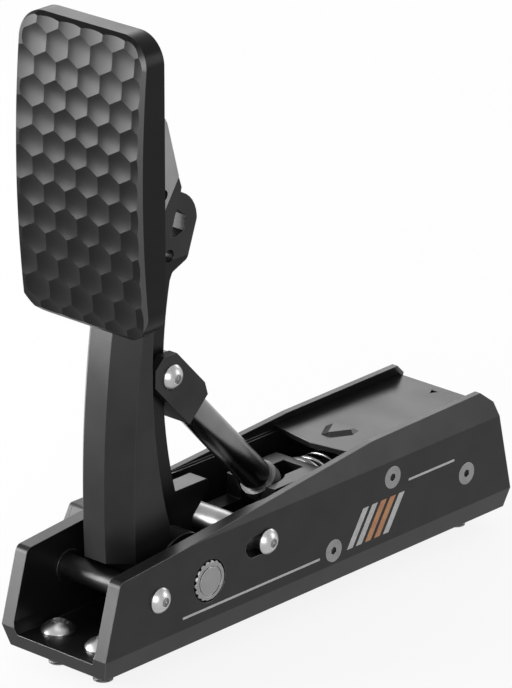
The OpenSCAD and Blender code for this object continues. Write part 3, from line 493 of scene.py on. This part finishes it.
def select_only(piece: bpy.types.Object) -> None:
    """Select one piece alone and make it the active one.

    Args:
        piece: The piece.
    """
    deselect()
    piece.select_set(True)
    bpy.context.view_layer.objects.active = piece


def place_in_mesh(piece: bpy.types.Object) -> None:
    """Move an object's place, turn and scale into its mesh."""
    select_only(piece)
    bpy.ops.object.transform_apply(location=True, rotation=True, scale=True)


def apply_modifiers(piece: bpy.types.Object) -> None:
    """Apply all of a piece's modifiers in order.

    Args:
        piece: The piece.
    """
    bpy.context.view_layer.objects.active = piece
    for modifier in list(piece.modifiers):
        bpy.ops.object.modifier_apply(modifier=modifier.name)


@dataclass
class SidePrint:
    """Printed stripes on the right wall of the base: two pinstripes and a row of slanted bars.

    Attributes:
        wall_x: Outer face of the right wall.
        film: Thickness of the ink.
        stripe_w: Width of a pinstripe.
        front_stripe: Start, end and height of the front pinstripe.
        rear_stripe: Start, end and height of the rear pinstripe.
        bar_start: Place of the first bar's lower front corner.
        bar_size: Width and height of a bar.
        bar_lean: How far a bar's top lies behind its foot.
        bar_pitch: Distance from bar to bar.
        bar_inks: Ink of each bar.
        corner_r: Radius of a patch's corners.
    """

    wall_x: float = 28.0 * MM
    film: float = 0.04 * MM
    stripe_w: float = 1.0 * MM
    front_stripe: tuple[float, float, float] = (-76 * MM, 3 * MM, 13.0 * MM)
    rear_stripe: tuple[float, float, float] = (56 * MM, 84 * MM, 31.0 * MM)
    bar_start: tuple[float, float] = (19 * MM, 12.4 * MM)
    bar_size: tuple[float, float] = (3.4 * MM, 15.0 * MM)
    bar_lean: float = 9.7 * MM
    bar_pitch: float = 5.4 * MM
    bar_inks: tuple[Finish, ...] = (SILVER_INK, SILVER_INK, COPPER_INK, COPPER_INK, SILVER_INK)
    corner_r: float = 0.25 * MM

    def build(self) -> None:
        """Print the stripes and bars."""
        stripes = {"front_stripe": self.front_stripe, "rear_stripe": self.rear_stripe}
        for name, (start, end, low) in stripes.items():
            self.finish(self.patch(name, start, end, low, low + self.stripe_w, 0.0), SILVER_INK)
        width, tall = self.bar_size
        y, z = self.bar_start
        first = self.patch("hash_bar_1", y, y + width, z, z + tall, self.bar_lean)
        bars = [first]
        for i in range(1, len(self.bar_inks)):
            select_only(first)
            bpy.ops.object.duplicate(linked=False)
            bar = bpy.context.object
            bar.name = f"hash_bar_{i + 1}"
            bar.location.y += i * self.bar_pitch
            place_in_mesh(bar)
            bars.append(bar)
        for bar, ink in zip(bars, self.bar_inks):
            self.finish(bar, ink)

    def patch(self, name: str, y0: float, y1: float, z0: float, z1: float,
              lean: float) -> bpy.types.Object:
        """Model one printed patch.

        Args:
            name: Name of the piece.
            y0: Front of the patch's foot.
            y1: Rear of the patch's foot.
            z0: Lower edge.
            z1: Upper edge.
            lean: How far the upper edge lies behind the lower one.

        Returns:
            The piece, with its place in its mesh.
        """
        middle = (z0 + z1) / 2
        deselect()
        bpy.ops.mesh.primitive_plane_add(size=1, location=(self.wall_x, (y0 + y1) / 2, middle),
                                         rotation=(0, math.pi / 2, 0))
        piece = bpy.context.object
        piece.name = name
        piece.scale = (z1 - z0, y1 - y0, 1)
        place_in_mesh(piece)
        bpy.ops.object.mode_set(mode="EDIT")
        bpy.ops.mesh.select_all(action="DESELECT")
        bpy.ops.object.mode_set(mode="OBJECT")
        for vertex in piece.data.vertices:
            vertex.select = vertex.co.z > middle
        bpy.ops.object.mode_set(mode="EDIT")
        bpy.ops.transform.translate(value=(0, lean, 0))
        bpy.ops.mesh.select_all(action="SELECT")
        bpy.ops.mesh.bevel(offset=self.corner_r, affect="VERTICES", segments=3)
        bpy.ops.object.mode_set(mode="OBJECT")
        film = piece.modifiers.new("film", "SOLIDIFY")
        film.thickness = self.film
        film.offset = 1
        apply_modifiers(piece)
        return piece

    def finish(self, piece: bpy.types.Object, ink: Finish) -> None:
        """Ink a patch and fix it to the base.

        Args:
            piece: The patch.
            ink: Its ink.
        """
        piece.data.materials.append(ink.material())
        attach(piece, "base")
        log.info("%s: %s", piece.name, ink.name)


@dataclass
class BaseUnit:
    """Channel, rail, spring housing, cover and their screws."""

    side_print: SidePrint = field(default_factory=SidePrint)

    def build(self) -> None:
        """Dress the base and print its side."""
        dress({
            "base_channel": BLACK_ANODISE, "tie_bar": BLACK_OXIDE, "tie_bar_washers": BLACK_OXIDE,
            "tie_bar_bolts": STAINLESS, "wall_bushes": BRONZE, "slide_rail": ACETAL,
            "spring_housing": BLACK_ANODISE_MACHINED, "guide_rod": BRIGHT_STEEL,
            "guide_rod_screw": STAINLESS, "cover_plate": BLACK_ANODISE,
            "side_screws": ZINC_FLAKE, "rig_bolts": STAINLESS,
        })
        self.side_print.build()


@dataclass
class SensorBox:
    """Moulded box on the left wall that reads the axle's turn."""

    def build(self) -> None:
        """Dress the box, its board and its socket."""
        dress({
            "sensor_housing": BLACK_ABS, "sensor_lid": BLACK_ABS, "sensor_board": SOLDER_MASK,
            "sensor_screws": STAINLESS, "signal_socket": BLACK_ABS, "sensor_magnet": ZINC_STEEL,
        })


@dataclass
class PedalArm:
    """Arm with its pivot, plate bracket and pedal plate."""

    def build(self) -> None:
        """Dress the arm and all that turns with it."""
        dress({
            "pedal_arm": ARM_ANODISE, "pivot_axle": BRIGHT_STEEL, "axle_spacers": ZINC_STEEL,
            "pivot_cap": GREY_ANODISE, "arm_set_screw": BLACK_OXIDE,
            "plate_bracket": SILVER_ANODISE, "bracket_bolts": STAINLESS,
            "bracket_nuts": STAINLESS, "pedal_plate": PLATE_ANODISE, "plate_screws": STAINLESS,
        })


@dataclass
class Linkage:
    """Pushrod, fork block and plunger sleeve between arm and spring."""

    def build(self) -> None:
        """Dress the pushrod and the sliding plunger."""
        dress({
            "clevis": BLACK_ANODISE_DULL, "clevis_bolt": STAINLESS, "clevis_nut": STAINLESS,
            "pushrod_tube": BLACK_NICKEL, "jam_nut": ZINC_FLAKE, "rod_end": BLACK_OXIDE,
            "fork_block": BLACK_ANODISE_MACHINED, "fork_pin": BRIGHT_STEEL,
            "pin_clips": BLACK_OXIDE, "spring_seat": BRIGHT_STEEL, "plunger_sleeve": ACETAL,
        })


@dataclass
class ReturnSpring:
    """Coil spring with one closed turn at each end, wound smooth round.

    Attributes:
        axis_z: Height of the spring's axis.
        front: Front end of the spring.
        back: Rear end of the spring, which stays in place.
        coil_r: Radius of the wire's middle line.
        wire_r: Radius of the wire.
        closed_pitch: Pitch of the closed end turns.
        live_turns: Turns between the closed ones.
        travel: How far the front end moves at the full press.
        sides: Corners of the wire's section.
        steps: Sections in one turn.
        weld: Distance within which the ends of two runs become one.
        smooth_angle: Most turn from face to face, in degrees, that is shaded round.
    """

    axis_z: float = 28.6 * MM
    front: float = 24.467 * MM
    back: float = 86.7 * MM
    coil_r: float = 12.4 * MM
    wire_r: float = 1.2 * MM
    closed_pitch: float = 2.95 * MM
    live_turns: float = 8.5
    travel: float = 18.2 * MM
    sides: int = 16
    steps: int = 56
    weld: float = 0.02 * MM
    smooth_angle: float = 50.0

    def build(self) -> None:
        """Wind the spring in three runs, join them and put it in the node's place."""
        live_rise = self.back - self.front - 2 * self.wire_r - 2 * self.closed_pitch
        closed = (1.0, self.closed_pitch)
        wound, y, runs = 0.0, self.front + self.wire_r, []
        for turns, rise in (closed, (self.live_turns, live_rise), closed):
            runs.append(self.wind(wound, y, turns, rise))
            wound += turns
            y += rise
        deselect()
        for run in runs:
            run.select_set(True)
        spring = runs[0]
        bpy.context.view_layer.objects.active = spring
        bpy.ops.object.join()
        spring.name = "wound_spring"
        bpy.ops.object.mode_set(mode="EDIT")
        bpy.ops.mesh.select_mode(type="VERT")
        bpy.ops.mesh.select_all(action="SELECT")
        bpy.ops.mesh.remove_doubles(threshold=self.weld)
        bpy.ops.mesh.fill_holes(sides=0)
        bpy.ops.mesh.normals_make_consistent(inside=False)
        bpy.ops.object.mode_set(mode="OBJECT")
        bpy.ops.object.shade_smooth_by_angle(angle=math.radians(self.smooth_angle))
        spring.data.materials.clear()
        spring.data.materials.append(SPRING_WIRE.material())
        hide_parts("return_spring")
        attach(spring, "base")
        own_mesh(spring)
        log.info("wound_spring: %s", SPRING_WIRE.name)

    def wind(self, start: float, y: float, turns: float, rise: float) -> bpy.types.Object:
        """Wind one run of even pitch.

        Args:
            start: Turns already wound.
            y: Where the run starts.
            turns: Turns in the run.
            rise: How far the run goes along Y.

        Returns:
            The run, with its place in its mesh.
        """
        deselect()
        bpy.ops.mesh.primitive_circle_add(vertices=self.sides, radius=self.wire_r,
                                          location=(0, 0, self.coil_r),
                                          rotation=(0, math.pi / 2, 0))
        run = bpy.context.object
        place_in_mesh(run)
        screw = run.modifiers.new("winding", "SCREW")
        screw.axis = "Y"
        screw.angle = 2 * math.pi * turns
        screw.screw_offset = rise
        screw.steps = screw.render_steps = round(self.steps * turns)
        apply_modifiers(run)
        run.rotation_euler.y = 2 * math.pi * start
        run.location = (0, y, self.axis_z)
        place_in_mesh(run)
        return run


@dataclass
class StopRod:
    """Bar across the base that sets how far the pedal goes."""

    def build(self) -> None:
        """Dress the stop rod and its bolts."""
        dress({"stop_rod": BRIGHT_STEEL, "stop_bolts": STAINLESS})


def outward(azimuth: float, elevation: float) -> Vector:
    """Give a direction away from the object.

    Args:
        azimuth: Turn from the front, in degrees.
        elevation: Height over the horizon, in degrees.

    Returns:
        The direction, of length 1.
    """
    turn, rise = math.radians(azimuth), math.radians(elevation)
    level = math.cos(rise)
    return Vector((math.sin(turn) * level, -math.cos(turn) * level, math.sin(rise)))


@dataclass(frozen=True)
class Softbox:
    """One soft light that looks at the object.

    Attributes:
        name: Name of the light.
        azimuth: Turn from the front, in degrees.
        elevation: Height over the horizon, in degrees.
        distance: Distance from the point that it looks at.
        width: Width of its face.
        height: Height of its face.
        brightness: Brightness of its face, where 1 is white.
        look_at: Point that it looks at.
    """

    name: str
    azimuth: float
    elevation: float
    distance: float
    width: float
    height: float
    brightness: float
    look_at: tuple[float, float, float] = (0.0, 0.0, 0.1)

    def hang(self) -> None:
        """Hang the light in its place."""
        back = outward(self.azimuth, self.elevation)
        deselect()
        bpy.ops.object.light_add(type="AREA", location=Vector(self.look_at) + back * self.distance)
        light = bpy.context.object
        light.name = self.name
        light.rotation_euler = (-back).to_track_quat("-Z", "Y").to_euler()
        light.data.shape = "RECTANGLE"
        light.data.size, light.data.size_y = self.width, self.height
        light.data.energy = self.brightness * math.pi * self.width * self.height


@dataclass
class Studio:
    """Pale floor, soft lights and the camera at the photograph's angle.

    Attributes:
        floor_z: Height of the floor.
        floor_size: Side of the square floor.
        floor_glow: Share of plain white in the floor where it is seen.
        surround: Strength of the white surroundings as light on the object.
        azimuth: Camera's turn from the front, in degrees.
        elevation: Camera's height over the horizon, in degrees.
        distance: Camera's distance from what it looks at.
        look_at: Point that the camera looks at.
        lens_mm: Focal length of the camera.
        sensor_mm: Width of the camera's sensor.
        nearest: Nearest distance that the camera sees.
        lights: Soft lights round the object.
    """

    floor_z: float
    floor_size: float = 8.0
    floor_glow: float = 0.86
    surround: float = 0.35
    azimuth: float = 42.70
    elevation: float = 21.21
    distance: float = 2271.6 * MM
    look_at: tuple[float, float, float] = (-25.86 * MM, 24.08 * MM, 84.77 * MM)
    lens_mm: float = 297.2
    sensor_mm: float = 36.0
    nearest: float = 0.05
    lights: tuple[Softbox, ...] = (
        Softbox("key_light", -50, 8.5, 1.0, 0.8, 0.5, 16),
        Softbox("back_light", 204, 29, 1.3, 1.5, 0.6, 2.7),
        Softbox("top_light", 20, 82, 1.2, 0.7, 0.7, 1.2),
        Softbox("fill_light", 50, 14, 3.0, 1.6, 1.7, 4.5),
        Softbox("side_light", 134, 16, 1.1, 0.5, 0.45, 3),
    )

    def build(self) -> None:
        """Set the camera, world, floor and lights."""
        bpy.context.scene.view_settings.view_transform = "Standard"
        self.camera()
        self.world()
        self.floor()
        for light in self.lights:
            light.hang()

    def camera(self) -> None:
        """Place the camera."""
        back = outward(self.azimuth, self.elevation)
        deselect()
        bpy.ops.object.camera_add(location=Vector(self.look_at) + back * self.distance)
        camera = bpy.context.object
        camera.rotation_euler = (-back).to_track_quat("-Z", "Y").to_euler()
        camera.data.lens = self.lens_mm
        camera.data.sensor_width = self.sensor_mm
        camera.data.clip_start = self.nearest
        bpy.context.scene.camera = camera

    def seen_directly(self, tree: Tree) -> Socket:
        """Give a socket that is 1 where the camera, a mirror or glass looks at the background.

        Args:
            tree: Tree that the nodes go into.

        Returns:
            The socket.
        """
        rays = add_node(tree, "LightPath")
        mirror = add_node(tree, "Math", {"operation": "ADD"}, {
            0: rays.outputs["Is Camera Ray"], 1: rays.outputs["Is Glossy Ray"]})
        glass = add_node(tree, "Math", {"operation": "ADD", "use_clamp": True}, {
            0: mirror.outputs[0], 1: rays.outputs["Is Transmission Ray"]})
        return glass.outputs[0]

    def world(self) -> None:
        """White surroundings that light the object only a little."""
        world = bpy.data.worlds.new("studio_world")
        bpy.context.scene.world = world
        tree = blank_tree(world)
        strength = ramp(tree, self.seen_directly(tree), UNIT, (self.surround, 1.0))
        sky = add_node(tree, "Background", {}, {"Strength": strength})
        add_node(tree, "OutputWorld", {}, {"Surface": sky.outputs["Background"]})

    def floor(self) -> None:
        """Pale floor that looks white and keeps a soft shadow."""
        deselect()
        bpy.ops.mesh.primitive_plane_add(size=self.floor_size, location=(0, 0, self.floor_z))
        floor = bpy.context.object
        floor.name = "studio_floor"
        material = bpy.data.materials.new("white_paper_floor")
        tree = blank_tree(material)
        paper = add_node(tree, "BsdfDiffuse", {"Color": linear("#e8e8e8")})
        glow = add_node(tree, "Emission", {"Strength": 1.0})
        share = ramp(tree, self.seen_directly(tree), UNIT, (0.0, self.floor_glow))
        mix = add_node(tree, "MixShader", {}, {
            0: share, 1: paper.outputs["BSDF"], 2: glow.outputs["Emission"]})
        add_node(tree, "OutputMaterial", {}, {"Surface": mix.outputs["Shader"]})
        floor.data.materials.append(material)


def main() -> None:
    """Build every sub-assembly and the studio."""
    for unit in (BaseUnit(), SensorBox(), PedalArm(), Linkage(), ReturnSpring(), StopRod(),
                 Studio(floor_z=cad_box[0].z)):
        unit.build()
        log.info("%s is ready", type(unit).__name__)


if __name__ == "__main__":
    main()
